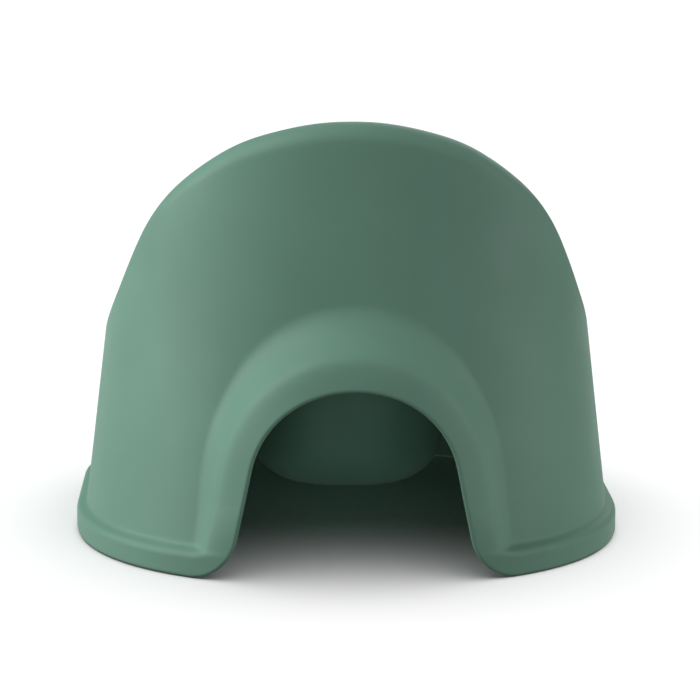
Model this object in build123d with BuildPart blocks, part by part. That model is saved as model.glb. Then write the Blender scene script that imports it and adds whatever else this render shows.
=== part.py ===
"""Child's potty chair: one-piece moulded chair, lift-out inner pot and four push-in rubber feet.

Frame: +Z up, Z = 0 is the floor under the feet. -Y is the back of the chair (the side with the
hand arch), +Y is the front. The origin is under the middle of the base band. Lengths are in mm.
"""
from build123d import *
from math import cos, hypot, pi, radians, sin, tan
import os

os.makedirs("parts", exist_ok=True)

# ---------------------------------------------------------------- base band and walls
base_width = 300.0        # across the base band
base_rear = 140.0         # from the widest station back to the band's rear face
base_front = 160.0        # from the widest station forward to the band's front face
plan_squareness = 2.27    # exponent of the plan outline: 2 is an ellipse, more is squarer
side_run = 60.0           # the sides run straight forward this far from the widest station
band_top = 14.4           # top of the base band above the floor
band_bevel = 3.0          # bevel of the band's top outer edge
band_step = 3.8           # how far the band stands proud of the wall, measured at the floor
rim_gap = 1.5             # air under the band: the feet lift it off the floor
skin = 2.8                # thickness of the moulding
side_lean = 6.8           # degrees from upright
rear_lean = 12.0
front_lean = 10.0

# ---------------------------------------------------------------- crest of the backrest and arms
chair_height = 233.0      # top of the backrest
shoulder_height = 192.0   # crest height where the backrest turns into the sides
arm_height = 127.0        # crest height at the foot of the backrest's wings
seat_side_height = 116.0  # crest height beside the seat
seat_front_height = 111.0 # crest height at the front edge
shoulder_x = 97.0         # where the crest is at the shoulder height
dome_half_width = 134.0   # where the dome's line meets the arm height
wing_top_depth = 66.0     # from the widest station back to the wings' edge, at the top
wing_foot_depth = 28.0    # and at the arm height
crest_round = 6.0         # rounding of the crest's two edges

# ---------------------------------------------------------------- seat well
well_floor = 103.0        # level that the pot's rim rests on
well_half_width = 101.0   # at its floor
well_rear = 60.0          # from the widest station back to the backrest's face, at the well's floor
well_front = 124.0        # from the widest station forward, at the well's floor
well_draft = 3.0          # degrees that the well opens upwards

# ---------------------------------------------------------------- arch at the back
arch_radius = 55.5        # crown of the hand opening
arch_centre = 46.5        # height of the crown's centre
leg_spread = 12.0         # degrees that the opening's legs spread from upright
leg_foot_round = 26.0     # round corner where a leg meets the floor edge
hood_band = 16.0          # width of the raised band round the opening
hood_flare = 24.0         # degrees that the hood grows from its crease to the wall
hood_depth = 52.0         # how far the hood's block reaches into the chair

# ---------------------------------------------------------------- inner pot
pot_wall = 2.2
bowl_half_width = 61.0    # outside, at the rim
bowl_squareness = 2.9     # exponent of the bowl's outline
bowl_floor = 24.0         # underside of the bowl above the floor
bowl_draft = 6.0          # degrees
bowl_corner = 22.0        # outside round between the bowl's side and its underside
pot_clearance = 1.2       # between the bowl and the seat hole, all round
flange_width = 10.0       # how far the pot's rim reaches over the seat
flange_gap_rear = 3.0     # from the rim to the well's wall, at the back
flange_gap_front = 5.0    # and at the front
flange_thickness = 3.2
splash_height = 38.0      # of the splash guard, above the rim
splash_half_width = 36.0
splash_round = 22.0

# ---------------------------------------------------------------- feet
foot_x = 113.0            # from the middle of the chair
foot_inset = 10.5         # from the band's outer face to a foot's axis
foot_radius = 6.5
foot_seat = 2.0           # how deep a foot's head sits in its boss
stem_radius = 2.5
stem_length = 8.0
stem_clearance = 0.05     # radial, between a stem and its socket
boss_skin = 2.5           # boss wall round a foot's head
boss_height = 13.0        # top of a boss above the floor

widest_y = (base_rear - base_front) / 2
bowl_rear = well_rear - flange_width - flange_gap_rear      # from the widest station, at the rim
bowl_front = well_front - flange_width - flange_gap_front
bowl_half_length = (bowl_rear + bowl_front) / 2
bowl_centre = (bowl_front - bowl_rear) / 2                  # forward of the widest station
outline_points = 24       # points round a plan outline


def plan_face(height, half_width, rear, front, centre=0.0, squareness=plan_squareness, run=side_run):
    """A flat face with a rounded plan outline, given from the widest station."""
    power = 2 / squareness
    quarter = outline_points // 4
    c = [cos(pi / 2 * step / quarter) ** power for step in range(quarter)]
    s = [0.0] + c[:0:-1]
    rear_right = [(half_width * c[i], -rear * s[i]) for i in range(1, quarter)]
    front_right = [(half_width * c[i], run + (front - run) * s[i]) for i in range(1, quarter)]
    side = [(half_width, run * share / 2) for share in (range(3) if run else range(1))]
    rear_left = [(-x, y) for x, y in rear_right]
    front_left = [(-x, y) for x, y in front_right[::-1]]
    far_side = [(-x, y) for x, y in side[::-1]]
    loop = side + front_right + [(0, front)] + front_left + far_side + rear_left + [(0, -rear)]
    loop += rear_right[::-1]
    points = [(x, widest_y + centre + y) for x, y in loop]
    with BuildSketch(Plane.XY.offset(height)) as face:
        with BuildLine():
            Spline(*points, periodic=True)
        make_face()
    return face.sketch


def wall_face(height, inset):
    """The wall's outline at a height, drawn in by an inset."""
    half_width = base_width / 2 - band_step - height * tan(radians(side_lean)) - inset
    rear = base_rear - band_step - height * tan(radians(rear_lean)) - inset
    front = base_front - band_step - height * tan(radians(front_lean)) - inset
    return plan_face(height, half_width, rear, front)


def well_face(height, inset):
    """The seat well's outline at a height, widened by an inset."""
    spread = inset + (height - well_floor) * tan(radians(well_draft))
    return plan_face(height, well_half_width + spread, well_rear + spread, well_front + spread)


def drawn_in(curve, inset, samples=9):
    """The same curve moved to its right by an inset, as a spline of its own."""
    points = []
    for step in range(samples):
        share = step / (samples - 1)
        along = curve % share
        points.append(curve @ share + Vector(along.Y, -along.X, 0) * inset)
    return Spline(*points, tangents=[curve % 0, curve % 1])


def dome_face(inset):
    """The chair seen from behind: the sweep of the backrest over to the sides."""
    half_base = base_width / 2 + skin
    dome = Spline(
        (0, chair_height),
        (shoulder_x, shoulder_height),
        (dome_half_width, arm_height),
        tangents=[(1, 0), (0.35, -1)],
    )
    with BuildSketch(Plane.XZ) as face:
        with BuildLine():
            edge = drawn_in(dome, inset)
            corner = (half_base, (edge @ 1).Y)
            Polyline(edge @ 1, corner, (half_base, -2 * skin), (0, -2 * skin))
            mirror(about=Plane.YZ)
        make_face()
    return face.sketch


def side_face(inset):
    """The chair seen from the side: wings, seat sides and front."""
    lid = chair_height + 4 * skin
    rear = widest_y - base_rear - skin
    front = widest_y + base_front + skin
    wing = Line((widest_y - wing_top_depth, lid), (widest_y - wing_foot_depth, arm_height))
    sill = Spline(
        wing @ 1,
        (widest_y, seat_side_height),
        (front, seat_front_height),
        tangents=[wing % 1, (1, -0.05)],
    )
    with BuildSketch(Plane.YZ) as face:
        with BuildLine():
            shift = Vector((wing % 0).Y, -(wing % 0).X, 0) * inset
            upper = Line(wing @ 0 + shift, wing @ 1 + shift)
            lower = drawn_in(sill, inset)
            end = lower @ 1
            Polyline(end, (end.X, -2 * skin), (rear, -2 * skin), (rear, lid), upper @ 0)
        make_face()
    return face.sketch


def arch_face(plane, grow, foot_round):
    """The arch's outline on a plane, grown outward; its legs end at the band's lower edge."""
    radius = arch_radius + grow
    lean = radians(leg_spread)
    touch = (radius * cos(lean), arch_centre + radius * sin(lean))
    foot = (touch[0] + (touch[1] - rim_gap) * tan(lean), rim_gap)
    below = (base_width / 2, rim_gap)
    with BuildSketch(plane) as face:
        with BuildLine():
            crown = RadiusArc((0, arch_centre + radius), touch, radius)
            leg = Line(crown @ 1, foot)
            if foot_round:
                floor_edge = Line(foot, below)
                Polyline(floor_edge @ 1, (below[0], -4 * skin), (0, -4 * skin))
            else:
                Polyline(leg @ 1, (foot[0], -4 * skin), (0, -4 * skin))
            mirror(about=Plane.YZ)
        make_face()
        if foot_round:
            corners = face.vertices().filter_by_position(Axis.Y, rim_gap - 0.1, rim_gap + 0.1)
            corners = corners.filter_by(lambda v: abs(v.X) < base_width / 2 - 1)
            fillet(corners, radius=foot_round)
    return face.sketch


def chair_form(inset):
    """The chair as a solid form; with an inset, the hollow inside its skin."""
    reach = base_rear + base_front + base_width
    bottom = rim_gap if inset == 0 else -skin
    with BuildPart() as form:
        loft([wall_face(bottom, inset), wall_face(chair_height + 10, inset)])
        extrude(dome_face(inset), amount=reach, both=True, mode=Mode.INTERSECT)
        extrude(side_face(inset), amount=reach, both=True, mode=Mode.INTERSECT)
        floor = well_floor - inset
        loft([well_face(floor, inset), well_face(chair_height + 20, inset)], mode=Mode.SUBTRACT)
        if inset == 0:
            crest = form.edges().filter_by(lambda e: e.bounding_box().min.Z > well_floor + 1)
            fillet(crest, radius=crest_round)
    return form


def band_form(inset):
    """The raised band along the lower edge, or the hollow behind it."""
    half_width = base_width / 2 - inset
    bottom = rim_gap if inset == 0 else -skin
    with BuildPart() as form:
        extrude(
            plan_face(bottom, half_width, base_rear - inset, base_front - inset),
            amount=band_top - inset - bottom,
        )
        if inset == 0:
            chamfer(form.faces().sort_by(Axis.Z)[-1].edges(), length=band_bevel)
    return form


def hood_form(inset):
    """The hood that carries the band over the arch, or the hollow behind it."""
    crease = Plane.XZ.offset(base_rear - widest_y - inset)
    wall_side = Plane.XZ.offset(base_rear - widest_y - hood_depth)
    flare = (hood_depth - inset) * tan(radians(hood_flare))
    half_width = base_width / 2 - inset
    bottom = rim_gap if inset == 0 else -skin
    with BuildPart() as form:
        loft([arch_face(crease, hood_band - inset, 0), arch_face(wall_side, hood_band - inset + flare, 0)])
        extrude(
            plan_face(bottom, half_width, base_rear - inset, base_front - inset),
            amount=chair_height,
            mode=Mode.INTERSECT,
        )
    return form


def foot_places():
    """Name and centre of each foot, just inside the band's corners."""
    places = []
    for row, run, depth, sign in (("rear", 0, base_rear, -1), ("front", side_run, base_front - side_run, 1)):
        edge = depth * (1 - (foot_x / (base_width / 2)) ** plan_squareness) ** (1 / plan_squareness)
        lean = hypot(1, depth / (base_width / 2))
        y = widest_y + sign * (run + edge - foot_inset * lean)
        places.append((f"foot_{row}_left", (-foot_x, y)))
        places.append((f"foot_{row}_right", (foot_x, y)))
    return places


def bowl_face(height, grow):
    """The bowl's outline at a height, grown outward."""
    taper = (well_floor - height) * tan(radians(bowl_draft))
    return plan_face(
        height,
        bowl_half_width + grow - taper,
        bowl_half_length + grow - taper,
        bowl_half_length + grow - taper,
        bowl_centre,
        bowl_squareness,
        0.0,
    )


def splash_guard():
    """A tongue that stands up from the front of the pot's rim and follows its curve."""
    middle = Plane.XZ.offset(-widest_y - bowl_centre)
    flange_top = well_floor + flange_thickness
    with BuildPart() as guard:
        loft([bowl_face(well_floor, 0), bowl_face(flange_top + splash_height, 0)])
        with BuildSketch(middle) as tongue:
            with Locations((0, flange_top)):
                Rectangle(2 * splash_half_width, 2 * splash_height)
            fillet(tongue.vertices().group_by(Axis.Y)[-1], radius=splash_round)
        extrude(amount=-2 * bowl_half_length, mode=Mode.INTERSECT)
    return guard


def bowl_cavity():
    """The inside of the pot."""
    with BuildPart() as cavity:
        loft([bowl_face(bowl_floor + pot_wall, -pot_wall), bowl_face(chair_height, -pot_wall)])
        fillet(cavity.edges().group_by(Axis.Z)[0], radius=bowl_corner - pot_wall)
    return cavity


# ---------------------------------------------------------------- the chair's shell
spots = foot_places()
head_top = rim_gap + foot_seat

with BuildPart() as shell:
    add(chair_form(0).part)
    add(band_form(0).part)
    add(hood_form(0).part)
    add(chair_form(skin).part, mode=Mode.SUBTRACT)
    add(band_form(skin).part, mode=Mode.SUBTRACT)
    add(hood_form(skin).part, mode=Mode.SUBTRACT)
    # bosses for the feet, merged with the band's wall and trimmed to its outline
    with BuildSketch(Plane.XY.offset(rim_gap)):
        with Locations(*[spot for name, spot in spots]):
            Circle(foot_radius + boss_skin)
        add(plan_face(rim_gap, base_width / 2 - 1, base_rear - 1, base_front - 1), mode=Mode.INTERSECT)
    extrude(amount=boss_height - rim_gap)
    # the hand opening
    extrude(
        arch_face(Plane.XZ.offset(base_rear - widest_y + skin), 0, leg_foot_round),
        amount=-(hood_depth - skin),
        mode=Mode.SUBTRACT,
    )
    # the hole that the bowl hangs in
    extrude(
        bowl_face(well_floor, pot_clearance).moved(Location((0, 0, -3 * skin))),
        amount=4 * skin,
        mode=Mode.SUBTRACT,
    )
    # sockets for the feet
    with BuildSketch(Plane.XY.offset(rim_gap)):
        with Locations(*[spot for name, spot in spots]):
            Circle(foot_radius + stem_clearance)
    extrude(amount=foot_seat, mode=Mode.SUBTRACT)
    with BuildSketch(Plane.XY.offset(head_top)):
        with Locations(*[spot for name, spot in spots]):
            Circle(stem_radius + stem_clearance)
    extrude(amount=stem_length + 1, mode=Mode.SUBTRACT)
shell.part.label = "shell"
export_step(shell.part, "parts/shell.step")

# ---------------------------------------------------------------- the lift-out pot
with BuildPart() as inner_pot:
    loft([bowl_face(bowl_floor, 0), bowl_face(well_floor, 0)])
    fillet(inner_pot.edges().group_by(Axis.Z)[0], radius=bowl_corner)
    extrude(bowl_face(well_floor, flange_width), amount=flange_thickness)
    add(splash_guard().part)
    add(bowl_cavity().part, mode=Mode.SUBTRACT)
inner_pot.part.label = "inner_pot"
export_step(inner_pot.part, "parts/inner_pot.step")

# ---------------------------------------------------------------- the feet
for name, spot in spots:
    with BuildPart() as foot:
        with BuildSketch(Plane.XY):
            with Locations(spot):
                Circle(foot_radius)
        extrude(amount=head_top)
        chamfer(foot.edges().group_by(Axis.Z)[0], length=0.6)
        with BuildSketch(Plane.XY.offset(head_top)):
            with Locations(spot):
                Circle(stem_radius)
        extrude(amount=stem_length)
    foot.part.label = name
    export_step(foot.part, f"parts/{name}.step")
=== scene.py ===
# %% [markdown]
# # A child's potty chair, modelled in Blender around its CAD frame
#
# The chair is two plastic mouldings and four rubber feet. The shell is a single skin, about 3 mm
# thick, that runs from the floor up the outside, over a rounded crest, down the face of the
# backrest and across the seat. The pot hangs by its rim in a hole in the seat. At the back, a hand
# opening is cut through the skin, and the raised band of the lower edge climbs over it as a hood.
#
# Everything is worked in millimetres here and turned into metres when a mesh is made.

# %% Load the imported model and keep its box
import math

import bmesh
import bpy
import numpy as np
from mathutils import Matrix, Vector


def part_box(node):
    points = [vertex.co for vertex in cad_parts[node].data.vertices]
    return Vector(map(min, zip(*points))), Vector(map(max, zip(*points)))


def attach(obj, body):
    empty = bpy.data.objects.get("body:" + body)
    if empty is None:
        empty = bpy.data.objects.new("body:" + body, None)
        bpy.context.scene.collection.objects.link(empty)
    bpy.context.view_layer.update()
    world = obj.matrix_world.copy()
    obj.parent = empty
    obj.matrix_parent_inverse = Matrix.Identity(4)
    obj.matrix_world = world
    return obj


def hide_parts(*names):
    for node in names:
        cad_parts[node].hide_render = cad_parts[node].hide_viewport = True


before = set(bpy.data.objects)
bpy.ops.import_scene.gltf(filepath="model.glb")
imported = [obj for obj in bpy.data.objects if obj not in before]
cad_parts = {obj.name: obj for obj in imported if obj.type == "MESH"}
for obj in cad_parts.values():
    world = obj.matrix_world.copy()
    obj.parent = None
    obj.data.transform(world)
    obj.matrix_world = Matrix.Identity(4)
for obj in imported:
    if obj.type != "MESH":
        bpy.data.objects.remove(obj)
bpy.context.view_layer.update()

MM = 0.001
scene = bpy.context.scene

# %% Sizes taken from the frame
shell_low, shell_high = [np.array(corner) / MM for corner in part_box("shell")]
pot_low, pot_high = [np.array(corner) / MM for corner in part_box("inner_pot")]
rim_half_width = (shell_high[0] - shell_low[0]) / 2
rim_gap = shell_low[2]
chair_height = shell_high[2]
widest_y = -10.0
rim_rear = widest_y - shell_low[1]
rim_front = shell_high[1] - widest_y
print("band, mm:", round(rim_half_width, 1), round(rim_rear, 1), round(rim_front, 1))

# %% [markdown]
# ## Camera
#
# The chair is seen from behind and a little above, through a long lens, which is how a product is
# usually shot: far away, so that the near edge doesn't swell. The camera could be aimed with a
# Track To constraint, but a matrix built from its own axes is exact and needs no empty.

# %% Camera
camera_distance = 1500.0
camera_target = Vector((0.0, widest_y, 110.0))
camera_elevation = math.radians(10.5)
camera_turn = math.radians(1.93)
camera_roll = math.radians(0.294)


def camera_axes():
    """Right, up and forward of the camera before its roll."""
    ce, se = math.cos(camera_elevation), math.sin(camera_elevation)
    ct, st = math.cos(camera_turn), math.sin(camera_turn)
    right = Vector((ct, -st, 0.0))
    up = Vector((se * st, se * ct, ce))
    forward = Vector((ce * st, ce * ct, -se))
    return right, up, forward


def add_camera():
    right, up, forward = camera_axes()
    cr, sr = math.cos(camera_roll), math.sin(camera_roll)
    rolled_right = right * cr + up * sr
    rolled_up = up * cr - right * sr
    place = (camera_target - forward * camera_distance) * MM
    camera = bpy.data.objects.new("camera", bpy.data.cameras.new("camera"))
    camera.data.lens = 138.85
    camera.data.sensor_width = 36.0
    camera.data.shift_x = 0.0045
    camera.data.shift_y = -0.0338
    camera.data.clip_end = 20.0
    turn = Matrix((rolled_right, rolled_up, -forward)).transposed()
    camera.matrix_world = Matrix.Translation(place) @ turn.to_4x4()
    scene.collection.objects.link(camera)
    scene.camera = camera
    return camera


camera = add_camera()
print("camera at, m:", [round(v, 3) for v in camera.matrix_world.translation])

# %% [markdown]
# ## Plan outline
#
# Seen from above the chair is a rounded shape, squarer than an ellipse, with a short straight run
# along each side. A superellipse draws it: the same formula as an ellipse, with a power above 2.
# Every level of the chair uses this one function with its own half width and depths, so the levels
# can be blended point by point.

# %% Plan outline
plan_power = 2 / 2.27
side_run = 60.0
side_turn = math.radians(20)


def outline(turn, half_width, rear, front, centre=0.0, run=side_run, power=plan_power):
    """X and Y of the outline; turn is 0 at the back, 90 degrees at the right, 180 at the front.

    Just past 90 degrees the outline runs straight forward before the front's curve begins."""
    past = np.clip(np.abs(turn) - math.pi / 2, 0, None)
    corner = side_turn if run else 0.0
    straight = np.minimum(past / side_turn, 1)
    past = np.maximum(past - corner, 0) * (math.pi / 2) / (math.pi / 2 - corner)
    bent = np.where(np.abs(turn) > math.pi / 2, math.pi / 2 + past, np.abs(turn)) * np.sign(turn)
    s, c = np.sin(bent), np.cos(bent)
    s = np.where(np.abs(s) < 1e-9, 0.0, s)
    c = np.where(np.abs(c) < 1e-9, 0.0, c)
    depth = np.where(c > 0, rear, front - run)
    x = half_width * np.sign(s) * np.abs(s) ** power
    y = widest_y + centre + run * straight - depth * np.sign(c) * np.abs(c) ** power
    return x, y


def outline_run():
    """Turn against distance along half of the band's outline, from the back to the front."""
    turn = np.linspace(0, math.pi, 4001)
    x, y = outline(turn, rim_half_width, rim_rear, rim_front)
    run = np.concatenate([[0], np.cumsum(np.hypot(np.diff(x), np.diff(y)))])
    return turn, run


run_turns, run_lengths = outline_run()
half_round = run_lengths[-1]


def turn_at(run):
    return np.interp(run, run_lengths, run_turns)


print("half of the band's outline, mm:", round(half_round, 1))

# %% [markdown]
# ## The skin's lower edge
#
# The lower edge is one closed line: along the floor, round a foot, up and over the hand opening
# and down again. On the real moulding the raised band keeps the same width all along it, so the
# mesh starts from this line and grows away from it. Its rows then run along the band and the
# hood's crease instead of cutting across them, which keeps the highlights clean.

# %% The hand opening
arch_radius = 56.3
arch_centre = 46.5
arch_power = 2.06
leg_spread = math.radians(12.0)
foot_round = 26.0


def crown_radius(angle):
    """Distance from the crown's centre to the opening's edge, a little squarer than round."""
    c, s = np.abs(np.cos(angle)), np.abs(np.sin(angle))
    return arch_radius * (c ** arch_power + s ** arch_power) ** (-1 / arch_power)


def arch_distance(x, z):
    """Distance from the opening's edge, positive on the skin, as if the legs ran on down."""
    dx, dz = np.abs(x), z - arch_centre
    angle = np.arctan2(dz, dx)
    crown = np.hypot(dx, dz) - crown_radius(np.maximum(angle, leg_spread))
    touch = crown_radius(leg_spread)
    leg = dx * math.cos(leg_spread) + dz * math.sin(leg_spread) - touch
    return np.where(angle > leg_spread, crown, leg)


def lower_edge(step_arch=1.1, step_floor=2.4):
    """Half of the lower edge, from the top of the opening round to the middle of the front."""
    angle = np.linspace(math.pi / 2, leg_spread, 70)
    crown_x = crown_radius(angle) * np.cos(angle)
    crown_z = arch_centre + crown_radius(angle) * np.sin(angle)
    # the foot's arc touches the leg and the floor edge
    centre_z = rim_gap + foot_round
    touch = crown_radius(leg_spread)
    centre_x = (touch + foot_round - (centre_z - arch_centre) * math.sin(leg_spread)) / math.cos(leg_spread)
    sweep = np.linspace(math.pi + leg_spread, 1.5 * math.pi, 40)
    foot_x = centre_x + foot_round * np.cos(sweep)
    foot_z = centre_z + foot_round * np.sin(sweep)
    x = np.concatenate([crown_x, foot_x, [half_round]])
    z = np.concatenate([crown_z, foot_z, [rim_gap]])
    run = np.concatenate([[0], np.cumsum(np.hypot(np.diff(x), np.diff(z)))])
    foot_end = run[-2]
    count_arch = int(foot_end / step_arch)
    count_floor = int((run[-1] - foot_end) / step_floor)
    even = np.concatenate([
        np.linspace(0, foot_end, count_arch, endpoint=False),
        np.linspace(foot_end, run[-1], count_floor + 1),
    ])
    return np.interp(even, run, x), np.interp(even, run, z), even, foot_end


edge_run, edge_z, edge_length, foot_end = lower_edge()
print("lower edge:", len(edge_run), "points on each half,", round(edge_length[-1]), "mm")

# %% [markdown]
# ## Walls, band and hood
#
# The walls lean in on every side. The band and the hood stand proud of them, with one upright
# outer face. The easiest way to get both is to describe how far a point of the skin has moved
# from the wall (0) to that upright face (1), and to let the band and the hood each say so. The
# two are joined like a soft "or", which fills the corner between them as a mould maker would.

# %% Walls
band_step = 3.8
side_lean = math.tan(math.radians(6.8))
rear_lean = math.tan(math.radians(12.0))
front_lean = math.tan(math.radians(10.0))


def wall(turn, z):
    return outline(
        turn,
        rim_half_width - band_step - z * side_lean,
        rim_rear - band_step - z * rear_lean,
        rim_front - band_step - z * front_lean,
    )


# %% Band and hood
skin = 2.8
band_top = 14.4
band_round = 4.0
hood_band = 16.0
crease_round = 3.0
hood_blend = 30.0
hood_tilt = 0.3


def soft_max(a, b, k):
    """The larger of two values, rounded off over k where they cross."""
    near = np.maximum(k - np.abs(a - b), 0) / np.maximum(k, 1e-6)
    return np.maximum(a, b) + near * near * k / 4


def band_share(z, gap):
    """1 on the band's face, rounded over its top edge and filleted down into the wall."""
    rise = np.clip((z - (band_top - band_round)) / band_round, 0, 1)
    over = band_round * (1 - np.sqrt(1 - rise * rise))
    rest = np.maximum(gap - band_round, 0.5)
    left = np.clip((z - band_top) / rest, 0, 1)
    fillet = rest * (1 - np.sqrt(np.clip(1 - (1 - left) ** 2, 0, 1)))
    proud = np.where(z <= band_top, gap - over, fillet)
    return np.clip(proud / gap, 0, 1)


def hood_share(x, z, gap):
    """1 on the hood's face, creased into a roof that runs back to the wall."""
    beyond = arch_distance(x, z) - hood_band
    high = np.clip((z - 40) / 70, 0, 1)
    slope = 1.5 + 1.1 * high * high * (3 - 2 * high)
    back = slope * (beyond + np.sqrt(beyond * beyond + crease_round ** 2)) / 2
    # above the floor the band's face turns away a little from the opening
    tilt = hood_tilt * np.clip((z - 12) / 28, 0, 1)
    back = back + tilt * np.clip(beyond + hood_band, 0, hood_band)
    proud = soft_max(gap - back, 0 * gap, np.minimum(hood_blend, 1.15 * gap))
    return np.clip(proud / gap, 0, 1)


def skin_at(run, z):
    """Point of the outer skin, given along the band's outline and by height."""
    turn = turn_at(run)
    wall_x, wall_y = wall(turn, z)
    rim_x, rim_y = outline(turn, rim_half_width, rim_rear, rim_front)
    gap = np.hypot(rim_x - wall_x, rim_y - wall_y)
    share = 1 - (1 - band_share(z, gap)) * (1 - hood_share(run, z, gap))
    x = wall_x + share * (rim_x - wall_x)
    y = wall_y + share * (rim_y - wall_y)
    return np.stack([x, y, z + 0 * x], axis=-1)


# %% [markdown]
# ## Crest, backrest and seat
#
# The skin turns over at the crest and comes down inside. The crest is high round the back, drops
# steeply along the two wings and runs level round the seat. A curve through a few heights gives
# it; the cubic pieces are the kind that never overshoot, so a level stretch stays level.

# %% Crest heights
crest_turns = np.radians([0, 25, 40, 50, 57, 64, 71, 77, 83, 89, 100, 125, 180])
crest_heights = np.array([232.7, 222.8, 208.5, 196.5, 185.9, 171, 150.5, 137.5, 127, 118, 115, 114, 111])


def through(x, xs, ys):
    """A smooth curve through points, without overshoot."""
    h = np.diff(xs)
    d = np.diff(ys) / h
    m = np.zeros(len(xs))
    w1 = 2 * h[1:] + h[:-1]
    w2 = h[1:] + 2 * h[:-1]
    same = d[:-1] * d[1:] > 0
    safe = np.where(same, d[:-1] * d[1:], 1.0)
    m[1:-1] = np.where(same, (w1 + w2) * safe / np.where(same, w1 * d[1:] + w2 * d[:-1], 1.0), 0)
    i = np.clip(np.searchsorted(xs, x) - 1, 0, len(h) - 1)
    t = (x - xs[i]) / h[i]
    a, b = ys[i], ys[i + 1]
    return (
        a * (1 + 2 * t) * (1 - t) ** 2
        + b * t * t * (3 - 2 * t)
        + h[i] * (m[i] * t * (1 - t) ** 2 - m[i + 1] * t * t * (1 - t))
    )


def crest_height(turn):
    """Crest height, smoothed a little so that its slope has no corners."""
    offsets = np.radians(np.linspace(-6, 6, 13))
    total = sum(through(np.clip(np.abs(turn + o), 0, math.pi), crest_turns, crest_heights) for o in offsets)
    return total / len(offsets)


print("crest, mm:", [round(float(crest_height(np.radians(a))), 1) for a in (0, 45, 70, 90, 180)])

# %% Rows of the skin, from the lower edge to the hole in the seat
seat_floor = 103.0
well_half_width, well_rear, well_front = 101.0, 60.0, 124.0
well_draft = math.tan(math.radians(3.0))
bowl_power = 2 / 2.9
bowl_half_width, bowl_half_length, bowl_centre = 61.0, 78.0, 31.0
hole_clearance = 1.2
seat_fillet = 12.0
crest_round = 9.5
front_round = 6.5


def well(turn, z):
    spread = (z - seat_floor) * well_draft
    return outline(turn, well_half_width + spread, well_rear + spread, well_front + spread)


def bowl_outline(turn, grow):
    """The pot's own outline, a little squarer than the chair's, grown outward."""
    length = bowl_half_length + grow
    return outline(turn, bowl_half_width + grow, length, length, bowl_centre, 0.0, bowl_power)


def edge_normals():
    """Direction that leads from the lower edge into the skin, in run and height."""
    dx, dz = np.gradient(edge_run, edge_length), np.gradient(edge_z, edge_length)
    length = np.hypot(dx, dz)
    nx, nz = -dz / length, dx / length
    nx[0], nz[0] = 0, 1
    nx[-1], nz[-1] = 0, 1
    return nx, nz


def crest_runs():
    """Where each column of the mesh meets the crest, along the band's outline."""
    foot_run = edge_run[np.searchsorted(edge_length, foot_end)]
    lead = 16.0
    on_floor = edge_run + lead * np.exp(-(edge_run - foot_run) / 60.0)
    t = np.minimum(edge_length / foot_end, 1)
    on_arch = (foot_run + lead) * (t + 0.5 * t * (1 - t) ** 2)
    runs = np.where(edge_length < foot_end, on_arch, on_floor)
    runs[-1] = half_round
    return runs


def wall_rows():
    """Rows from the lower edge to where the crest's rounding begins."""
    nx, nz = edge_normals()
    top_run = crest_runs()
    top_turn = turn_at(top_run)
    height = crest_height(top_turn)
    slope = np.gradient(height, top_run)
    round_up = crest_rounding(top_turn) * np.minimum(np.sqrt(1 + slope * slope), 2.2)
    top_z = height - round_up
    rows = []
    near = np.linspace(0.4, 19, 28)  # the lip's half round hangs 1 mm below the edge line
    drop = 0.4 * np.clip(edge_run / half_round * 4 - 2.4, 0, 1)  # the front edge sits lower
    for w in near:
        d = w - drop * max(0, 1 - w / 6)
        rows.append(skin_at(edge_run + nx * d, edge_z + nz * d))
    start_run, start_z = edge_run + nx * near[-1], edge_z + nz * near[-1]
    reach = np.hypot(top_run - start_run, top_z - start_z)
    handle = 5.0
    for v in np.linspace(0, 1, 62)[1:]:
        b0, b1, b2, b3 = (1 - v) ** 3, 3 * v * (1 - v) ** 2, 3 * v * v * (1 - v), v ** 3
        run = b0 * start_run + b1 * (start_run + nx * handle) + (b2 + b3) * top_run
        z = b0 * start_z + b1 * (start_z + nz * handle) + b2 * (top_z - reach * 0.33) + b3 * top_z
        rows.append(skin_at(run, z))
    return rows, top_turn, top_z, round_up


def crest_rounding(turn):
    """Half height of the crest's rounding: full at the back, tighter round the front."""
    share = np.clip((turn - math.radians(70)) / math.radians(60), 0, 1)
    share = share * share * (3 - 2 * share)
    return crest_round + (front_round - crest_round) * share


def crest_rows(turn, top_z, round_up):
    """Rows over the crest, from the wall to the face of the backrest."""
    ox, oy = wall(turn, top_z)
    ix, iy = well(turn, top_z)
    rows = []
    for a in np.linspace(0, math.pi, 23)[1:]:
        lift = round_up * math.sin(a)
        # the wall's and the well's own lean carry on into the rounding and fade out at its top
        wx, wy = wall(turn, top_z + lift)
        fx, fy = well(turn, top_z + lift)
        share = (1 - math.cos(a)) / 2
        x = wx + (fx - wx) * share
        y = wy + (fy - wy) * share
        rows.append(np.stack([x, y, top_z + lift], axis=-1))
    return rows


def seat_rows(turn, top_z):
    """Rows down the backrest's face, round its foot and across the seat to the hole."""
    fillet = np.minimum(seat_fillet, np.maximum(top_z - seat_floor - 0.5, 0.5))
    foot_z = seat_floor + fillet
    rows = []
    for v in np.linspace(0, 1, 24)[1:]:
        z = top_z + (foot_z - top_z) * v
        x, y = well(turn, z)
        rows.append(np.stack([x, y, z], axis=-1))
    wx, wy = well(turn, foot_z)
    hx, hy = bowl_outline(turn, hole_clearance + skin / 2)
    span = np.hypot(hx - wx, hy - wy)
    for a in np.linspace(0, math.pi / 2, 9)[1:]:
        share = fillet * (1 - math.cos(a)) / span
        z = foot_z - fillet * math.sin(a)
        rows.append(np.stack([wx + (hx - wx) * share, wy + (hy - wy) * share, z], axis=-1))
    start = fillet / span
    for v in np.linspace(0, 1, 9)[1:]:
        share = start + (1 - start) * v
        rows.append(np.stack([wx + (hx - wx) * share, wy + (hy - wy) * share, seat_floor + 0 * wx], axis=-1))
    return rows


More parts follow.
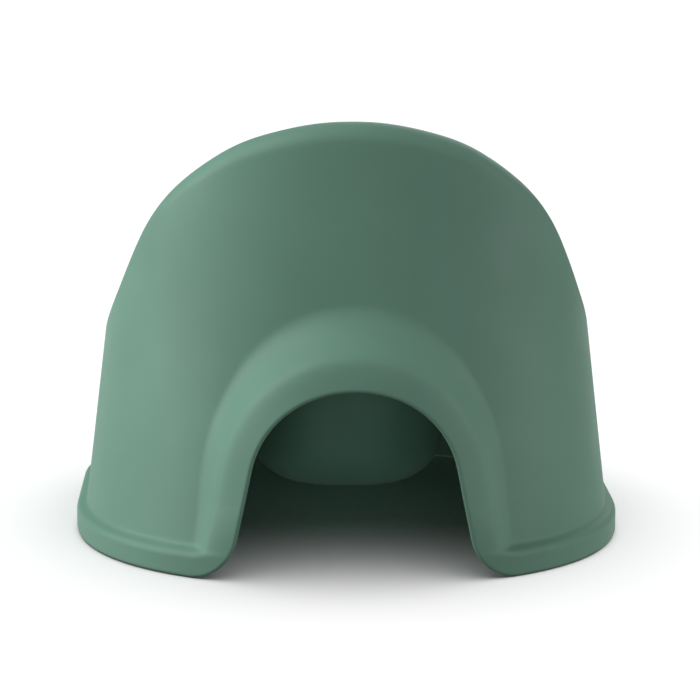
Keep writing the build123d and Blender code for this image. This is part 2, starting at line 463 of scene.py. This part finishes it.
lower, top_turn, top_z, round_up = wall_rows()
skin_rows = lower + crest_rows(top_turn, top_z, round_up) + seat_rows(top_turn, top_z)
print("skin:", len(skin_rows), "rows of", len(skin_rows[0]), "points on each half")

# %% [markdown]
# ## From rows to a closed skin
#
# Rows of points become a grid of four-sided faces. The left half is the mirror image of the
# right. A Solidify modifier could give the skin its thickness, but its rim is flat; here the
# inner side is laid out along the normals, and the two sides are joined by a half-round
# lip at the lower edge and round the hole, as the real edge is.

# %% Grid helpers
def closed_loop(half):
    """A full row from its right half: out along +X and back along -X."""
    left = half[-2:0:-1] * np.array([-1.0, 1.0, 1.0])
    full = np.concatenate([half, left])
    full[0, 0] = 0.0
    full[len(half) - 1, 0] = 0.0
    return full


def grid_normals(grid):
    """Outward unit normals of a grid whose rows are closed loops."""
    along = np.roll(grid, -1, axis=1) - np.roll(grid, 1, axis=1)
    across = np.gradient(grid, axis=0)
    normal = np.cross(along, across)
    return normal / np.maximum(np.linalg.norm(normal, axis=-1, keepdims=True), 1e-9)


def lip(outer, inner, steps):
    """Half-round rows from an outer edge to an inner edge, bulging away from the sheet."""
    middle = (outer[0] + inner[0]) / 2
    half = (outer[0] - inner[0]) / 2
    away = middle - (outer[1] + inner[1]) / 2
    away /= np.maximum(np.linalg.norm(away, axis=-1, keepdims=True), 1e-9)
    size = np.linalg.norm(half, axis=-1, keepdims=True)
    return [middle + half * math.cos(a) + away * size * math.sin(a)
            for a in np.linspace(0, math.pi, steps + 2)[1:-1]]


def grid_mesh(name, grid, close_rows=False):
    """A mesh from a grid of closed rows; close_rows joins the last row to the first."""
    rows, count = grid.shape[:2]
    points = (grid.reshape(-1, 3) * MM).tolist()
    faces = []
    for r in range(rows if close_rows else rows - 1):
        a, b = r * count, ((r + 1) % rows) * count
        for c in range(count):
            d = (c + 1) % count
            faces.append((a + c, a + d, b + d, b + c))
    mesh = bpy.data.meshes.new(name)
    mesh.from_pydata(points, [], faces)
    mesh.polygons.foreach_set("use_smooth", [True] * len(faces))
    mesh.update()
    return mesh


def make_piece(name, mesh, body, node):
    piece = bpy.data.objects.new(name, mesh)
    scene.collection.objects.link(piece)
    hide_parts(node)
    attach(piece, body)
    return piece


# %% The shell
def shell_grid():
    outer = np.array([closed_loop(row) for row in skin_rows])
    inner = outer - grid_normals(outer) * skin  # the normals lead outward
    bottom = lip(outer, inner, 5)
    top = lip(outer[::-1], inner[::-1], 5)
    return np.concatenate([outer, np.array(top), inner[::-1], np.array(bottom[::-1])])


shell = make_piece("chair_shell", grid_mesh("chair_shell", shell_grid(), True), "chair", "shell")
print("shell:", len(shell.data.polygons), "faces")

# %% [markdown]
# ## The inner pot
#
# The real pot is one moulding too: a tapered tub with a generous round at its bottom, a flat rim
# that lies on the seat and a splash guard that grows out of the rim at the front. A Spin or a
# lathe can't draw it, because it isn't round, so it is made from rows as well. Every row is the
# pot's outline, grown or shrunk, at some height; only the guard's rows rise and fall on the way
# round. Merging the points at the two centres closes the bottom.

# %% The pot's rows
pot_wall = 2.2
pot_draft = math.tan(math.radians(6.0))
pot_corner = 22.0
flange_width, flange_thickness = 10.0, 3.2
guard_half_width = 36.0
pot_turns = np.linspace(0, math.pi, 181)


def guard_height(turn):
    """How far the splash guard stands above the rim, column by column."""
    x, _ = bowl_outline(turn, 0)
    full = pot_high[2] - seat_floor - flange_thickness
    share = np.clip(1 - (np.abs(x) / guard_half_width) ** 4, 0, 1) ** 0.42
    return np.where(turn > math.pi / 2, full * share, 0)


def pot_level(grow, z):
    x, y = bowl_outline(pot_turns, grow)
    return np.stack([x, y, z + 0 * x], axis=-1)


def pot_bottom(floor, corner, inset):
    """Rows from the centre of a bottom, round its corner, to where the side begins."""
    taper = (seat_floor - floor) * pot_draft + inset
    flat = pot_level(-corner - taper, floor)
    centre = np.array([0.0, widest_y + bowl_centre, floor])
    rows = [centre + (flat - centre) * f for f in np.linspace(0, 1, 12)]
    for a in np.linspace(0, math.pi / 2, 14)[1:]:
        z = floor + corner * (1 - math.cos(a))
        side = (seat_floor - z) * pot_draft + inset
        rows.append(pot_level(-corner * (1 - math.sin(a)) - side, z))
    return rows


def pot_rows():
    rows = pot_bottom(pot_low[2], pot_corner, 0.0)
    # up the outside, to the small round under the rim
    for z in np.linspace(pot_low[2] + pot_corner, seat_floor - 1.5, 16)[1:]:
        rows.append(pot_level(-(seat_floor - z) * pot_draft, z))
    for a in np.linspace(0, math.pi / 2, 5)[1:]:
        rows.append(pot_level(1.5 * (1 - math.cos(a)), seat_floor - 1.5 * (1 - math.sin(a))))
    # out under the rim, round its edge and back over it
    edge = flange_thickness / 2
    for share in np.linspace(0.2, 1, 4):
        rows.append(pot_level(1.5 + (flange_width - edge - 1.5) * share, seat_floor))
    for a in np.linspace(-math.pi / 2, math.pi / 2, 9)[1:]:
        rows.append(pot_level(flange_width - edge + edge * math.cos(a), seat_floor + edge * (1 + math.sin(a))))
    top = seat_floor + flange_thickness
    for share in np.linspace(0.2, 1, 4):
        rows.append(pot_level(flange_width - edge + (1.8 - flange_width + edge) * share, top))
    # up the guard, over its rounded top and down the inside
    tip = pot_wall / 2
    rise = np.maximum(guard_height(pot_turns) - tip, 0.0)
    foot = np.minimum(1.5, rise)
    for a in np.linspace(0, math.pi / 2, 5)[1:]:
        z = top + foot * (1 - math.cos(a))
        rows.append(pot_level((z - seat_floor) * pot_draft + 1.4 * (1 - math.sin(a)), z))
    for share in np.linspace(0, 1, 13)[1:]:
        z = top + foot + (rise - foot) * share
        rows.append(pot_level((z - seat_floor) * pot_draft, z))
    crown = top + rise
    outward = (crown - seat_floor) * pot_draft - tip
    for a in np.linspace(0, math.pi, 9)[1:]:
        rows.append(pot_level(outward + tip * math.cos(a), crown + tip * math.sin(a)))
    low = pot_low[2] + pot_wall
    corner = pot_corner - pot_wall
    for share in np.linspace(0, 1, 24)[1:]:
        z = crown + (low + corner - crown) * share
        rows.append(pot_level((z - seat_floor) * pot_draft - pot_wall, z))
    return rows + pot_bottom(low, corner, pot_wall)[-2::-1]


def merge_points(mesh):
    work = bmesh.new()
    work.from_mesh(mesh)
    bmesh.ops.remove_doubles(work, verts=work.verts, dist=1e-6)
    bmesh.ops.recalc_face_normals(work, faces=work.faces)
    work.to_mesh(mesh)
    work.free()
    return mesh


pot_mesh = merge_points(grid_mesh("pot", np.array([closed_loop(row) for row in pot_rows()])))
pot = make_piece("lift_out_pot", pot_mesh, "pot", "inner_pot")
print("pot:", len(pot.data.polygons), "faces")

# %% [markdown]
# ## Rubber feet and their bosses
#
# Each foot is a soft rubber button with a stem, pushed into a boss inside the band's corner. Two
# rings on the underside let it grip a wet floor. Turned parts are the easy case: one profile,
# swept round its axis.

# %% Turned parts
def lathe(name, profile, centre, steps=72):
    """A turned part from a profile of radius and height, about an upright axis."""
    turn = np.linspace(0, 2 * math.pi, steps, endpoint=False)
    grid = np.array([
        np.stack([centre[0] + r * np.cos(turn), centre[1] + r * np.sin(turn), 0 * turn + z], axis=-1)
        for r, z in profile
    ])
    return merge_points(grid_mesh(name, grid))


def arc(centre_r, centre_z, radius, start, end, steps=5):
    sweep = np.radians(np.linspace(start, end, steps))
    return [(centre_r + radius * math.cos(a), centre_z + radius * math.sin(a)) for a in sweep]


foot_nodes = ["foot_rear_left", "foot_rear_right", "foot_front_left", "foot_front_right"]
foot_seat = 2.0
stem_radius = 2.5


def foot_profile(radius, head, top):
    rings = []
    for r in (1.6, 3.6):
        rings += [(r, 0.0), (r + 0.25, 0.45), (r + 0.75, 0.45), (r + 1.0, 0.0)]
    side = arc(radius - 0.6, 0.6, 0.6, -90, 0) + arc(radius - 0.3, head - 0.3, 0.3, 0, 90)
    stem = [(stem_radius + 0.2, head), (stem_radius, head + 0.2), (stem_radius, top - 3.5)]
    barb = [(stem_radius, top - 3.4), (stem_radius - 0.6, top - 0.6)]
    return [(0, 0)] + rings + side + stem + barb + arc(stem_radius - 1.2, top - 0.6, 0.6, 0, 90) + [(0, top)]


def boss_profile(head):
    """The boss round a foot: outside, top, stem hole, seat for the head."""
    outside, top = 8.9, 13.0
    return (
        [(6.6, rim_gap + 0.1), (outside, rim_gap + 0.1)]
        + arc(outside - 1.0, top - 1.0, 1.0, 0, 90)
        + [(3.1, top), (2.62, top - 0.5), (2.62, head), (6.6, head), (6.6, rim_gap + 0.1)]
    )


feet, bosses = [], []
for node in foot_nodes:
    low, high = [np.array(corner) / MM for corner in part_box(node)]
    centre = (low + high)[:2] / 2
    head = rim_gap + foot_seat
    profile = foot_profile((high[0] - low[0]) / 2, head, high[2])
    feet.append(make_piece(node + "_rubber", lathe(node, profile, centre), "chair", node))
    boss = lathe(node + "_boss", boss_profile(head + 0.05), centre)
    bosses.append(make_piece(node + "_boss", boss, "chair", "shell"))
print("feet:", [piece.name for piece in feet])

# %% [markdown]
# ## Finishes
#
# The plastic is dyed through, so its colour hardly changes; what makes it look moulded is the
# surface. A fine spark-eroded grain breaks up the highlight, the flow of the melt leaves faint
# lighter and darker clouds, the gloss varies a little from place to place, and where the plastic
# rubs on the floor it is scuffed. Each of those is one noise texture in object coordinates, so
# nothing depends on where the camera is and no picture has to be unwrapped onto the model.

# %% Finish helpers
def new_finish(name):
    material = bpy.data.materials.new(name)
    material.use_nodes = True
    tree = material.node_tree
    return material, tree, tree.nodes["Principled BSDF"]


def noise(tree, scale, detail=4.0, roughness=0.5, stretch=None):
    """A noise value in object coordinates, stretched if asked."""
    place = tree.nodes.new("ShaderNodeTexCoord")
    texture = tree.nodes.new("ShaderNodeTexNoise")
    texture.inputs["Scale"].default_value = scale
    texture.inputs["Detail"].default_value = detail
    texture.inputs["Roughness"].default_value = roughness
    source = place.outputs["Object"]
    if stretch:
        mapping = tree.nodes.new("ShaderNodeMapping")
        mapping.inputs["Scale"].default_value = stretch
        tree.links.new(source, mapping.inputs["Vector"])
        source = mapping.outputs["Vector"]
    tree.links.new(source, texture.inputs["Vector"])
    return texture.outputs["Fac"]


def spread(tree, value, low, high, new_low, new_high):
    """Maps a value from one range to another, clamped."""
    node = tree.nodes.new("ShaderNodeMapRange")
    node.clamp = True
    for socket, number in zip(("From Min", "From Max", "To Min", "To Max"), (low, high, new_low, new_high)):
        node.inputs[socket].default_value = number
    tree.links.new(value, node.inputs["Value"])
    return node.outputs["Result"]


def combine(tree, kind, a, b):
    """Maths on two values, each a socket or a number."""
    node = tree.nodes.new("ShaderNodeMath")
    node.operation = kind
    for socket, value in zip(node.inputs, (a, b)):
        if isinstance(value, (int, float)):
            socket.default_value = value
        else:
            tree.links.new(value, socket)
    return node.outputs["Value"]


def blend(tree, share, first, second):
    """A colour between two colours; either may be a socket."""
    node = tree.nodes.new("ShaderNodeMix")
    node.data_type = "RGBA"
    tree.links.new(share, node.inputs["Factor"])
    for socket, colour in ((node.inputs[6], first), (node.inputs[7], second)):
        if isinstance(colour, tuple):
            socket.default_value = colour
        else:
            tree.links.new(colour, socket)
    return node.outputs[2]


def bump(tree, height, distance, strength=1.0, under=None):
    node = tree.nodes.new("ShaderNodeBump")
    node.inputs["Distance"].default_value = distance
    node.inputs["Strength"].default_value = strength
    tree.links.new(height, node.inputs["Height"])
    if under:
        tree.links.new(under, node.inputs["Normal"])
    return node.outputs["Normal"]


def height_above_floor(tree):
    place = tree.nodes.new("ShaderNodeTexCoord")
    parts = tree.nodes.new("ShaderNodeSeparateXYZ")
    tree.links.new(place.outputs["Object"], parts.inputs["Vector"])
    return parts.outputs["Z"]


# %% Plastic of the shell and of the pot
def moulded_plastic(name, base, grain, roughness):
    """Sage plastic: clouds from the melt, moulded grain, floor scuffs near the lower edge."""
    material, tree, shader = new_finish(name)
    pale = tuple(c * 1.06 for c in base) + (1.0,)
    deep = tuple(c * 0.94 for c in base) + (1.0,)
    dusty = tuple(c * 0.85 + 0.06 for c in base) + (1.0,)
    clouds = spread(tree, noise(tree, 9.0, 5.0), 0.35, 0.65, 0.0, 1.0)
    colour = blend(tree, clouds, deep, pale)
    specks = spread(tree, noise(tree, 1400.0, 2.0), 0.62, 0.72, 0.0, 0.25)
    colour = blend(tree, specks, colour, pale)
    # scuffs: long level scratches that only show near the floor
    near_floor = spread(tree, height_above_floor(tree), 0.0, 0.028, 1.0, 0.0)
    strokes = spread(tree, noise(tree, 60.0, 6.0, 0.7, (1.0, 1.0, 9.0)), 0.60, 0.70, 0.0, 1.0)
    scuffs = combine(tree, "MULTIPLY", near_floor, strokes)
    colour = blend(tree, combine(tree, "MULTIPLY", scuffs, 0.35), colour, dusty)
    tree.links.new(colour, shader.inputs["Base Color"])
    polish = spread(tree, noise(tree, 22.0, 3.0), 0.3, 0.7, roughness - 0.04, roughness + 0.05)
    tree.links.new(combine(tree, "ADD", polish, combine(tree, "MULTIPLY", scuffs, 0.15)), shader.inputs["Roughness"])
    shader.inputs["IOR"].default_value = 1.49
    shader.inputs["Specular IOR Level"].default_value = 0.3
    shader.inputs["Sheen Weight"].default_value = 0.02
    shader.inputs["Sheen Roughness"].default_value = 0.6
    waves = bump(tree, noise(tree, 16.0, 2.0), 0.00035, 0.5)
    fine = bump(tree, noise(tree, 2600.0, 2.0), 0.00002, grain, waves)
    scratched = bump(tree, scuffs, 0.00004, 0.6, fine)
    tree.links.new(scratched, shader.inputs["Normal"])
    return material


shell_green = (0.118, 0.240, 0.180)
# The pot is the same plastic as the shell; its greener base colour is painted green bounce light from the shell's
# inside.
pot_green_painted_bounce = (0.112, 0.255, 0.188)
shell_plastic = moulded_plastic("shell_plastic", shell_green, 0.8, 0.58)
pot_plastic_painted_bounce = moulded_plastic("pot_plastic_painted_bounce", pot_green_painted_bounce, 0.4, 0.5)
print("plastics:", shell_plastic.name, pot_plastic_painted_bounce.name)


# %% Rubber of the feet
def foot_rubber():
    """Near-black rubber with a dusty bloom and a floor-worn underside."""
    material, tree, shader = new_finish("foot_rubber")
    bloom = spread(tree, noise(tree, 180.0, 6.0, 0.6), 0.4, 0.75, 0.0, 1.0)
    colour = blend(tree, bloom, (0.010, 0.010, 0.011, 1.0), (0.030, 0.030, 0.031, 1.0))
    worn = spread(tree, height_above_floor(tree), 0.0, 0.0007, 0.6, 0.0)
    colour = blend(tree, worn, colour, (0.055, 0.054, 0.052, 1.0))
    tree.links.new(colour, shader.inputs["Base Color"])
    tree.links.new(spread(tree, noise(tree, 90.0), 0.3, 0.7, 0.62, 0.82), shader.inputs["Roughness"])
    shader.inputs["Specular IOR Level"].default_value = 0.35
    tree.links.new(bump(tree, noise(tree, 1500.0, 3.0), 0.00005, 0.7), shader.inputs["Normal"])
    return material


rubber = foot_rubber()


def dress(node, pieces, material):
    """Gives the made pieces the finish; node, the part they stand for, is not used."""
    for piece in pieces:
        piece.data.materials.clear()
        piece.data.materials.append(material)


dress("shell", [shell] + bosses, shell_plastic)
dress("inner_pot", [pot], pot_plastic_painted_bounce)
dress("feet", feet, rubber)

# %% [markdown]
# ## Studio
#
# A flat white floor, a large soft light on the left and weaker fill.

# %% Floor and lights
def add_floor():
    mesh = bpy.data.meshes.new("floor")
    size = 6.0
    mesh.from_pydata([(-size, -size, 0), (size, -size, 0), (size, size, 0), (-size, size, 0)], [], [(0, 1, 2, 3)])
    floor = bpy.data.objects.new("floor", mesh)
    scene.collection.objects.link(floor)
    material = bpy.data.materials.new("floor")
    material.use_nodes = True
    shader = material.node_tree.nodes["Principled BSDF"]
    shader.inputs["Base Color"].default_value = (0.9, 0.9, 0.9, 1)
    shader.inputs["Roughness"].default_value = 0.9
    shader.inputs["Specular IOR Level"].default_value = 0.1
    mesh.materials.append(material)
    floor.visible_diffuse = False
    return floor


def add_area(name, place, aim, size, power):
    light = bpy.data.lights.new(name, "AREA")
    light.shape = "RECTANGLE"
    light.size, light.size_y = size
    light.energy = power
    lamp = bpy.data.objects.new(name, light)
    lamp.location = place
    lamp.rotation_euler = (Vector(aim) - Vector(place)).to_track_quat("-Z", "Y").to_euler()
    scene.collection.objects.link(lamp)
    return lamp


floor = add_floor()
floor_only = bpy.data.collections.new("floor_only")
floor_only.objects.link(floor)
chair_only = bpy.data.collections.new("chair_only")
for piece in [shell, pot] + feet + bosses:
    chair_only.objects.link(piece)
lamps = [
    add_area("key_left", (-1.5, -0.4, 0.6), (0, 0, 0.1), (1.1, 0.9), 24),
    add_area("high_left", (-1.0, -0.2, 1.6), (0, 0, 0.15), (0.9, 0.9), 15),
    add_area("rim_right", (1.6, 0.1, 0.9), (0, 0, 0.1), (1.0, 1.2), 2),
    add_area("fill_right", (1.5, -0.65, 0.55), (0, 0, 0.1), (1.0, 1.0), 13),
    add_area("front_soft", (0.5, 1.7, 1.0), (0, 0, 0.1), (1.2, 1.2), 12),
]
for lamp in lamps:
    lamp.light_linking.receiver_collection = chair_only
pot_only = bpy.data.collections.new("pot_only")
pot_only.objects.link(pot)
low_fill = add_area("low_fill", (-0.2, -1.6, 0.25), (0, 0, 0.06), (0.5, 0.5), 2.0)
low_fill.light_linking.receiver_collection = pot_only
overhead = bpy.data.objects.new("overhead", bpy.data.lights.new("overhead", "SUN"))
overhead.data.energy = 3.6
overhead.data.angle = math.radians(110)
scene.collection.objects.link(overhead)
overhead.light_linking.receiver_collection = floor_only
world = bpy.data.worlds.new("studio")
world.use_nodes = True
world.node_tree.nodes["Background"].inputs["Color"].default_value = (1, 1, 1, 1)
world.node_tree.nodes["Background"].inputs["Strength"].default_value = 0.12
scene.world = world
scene.view_settings.view_transform = "Standard"
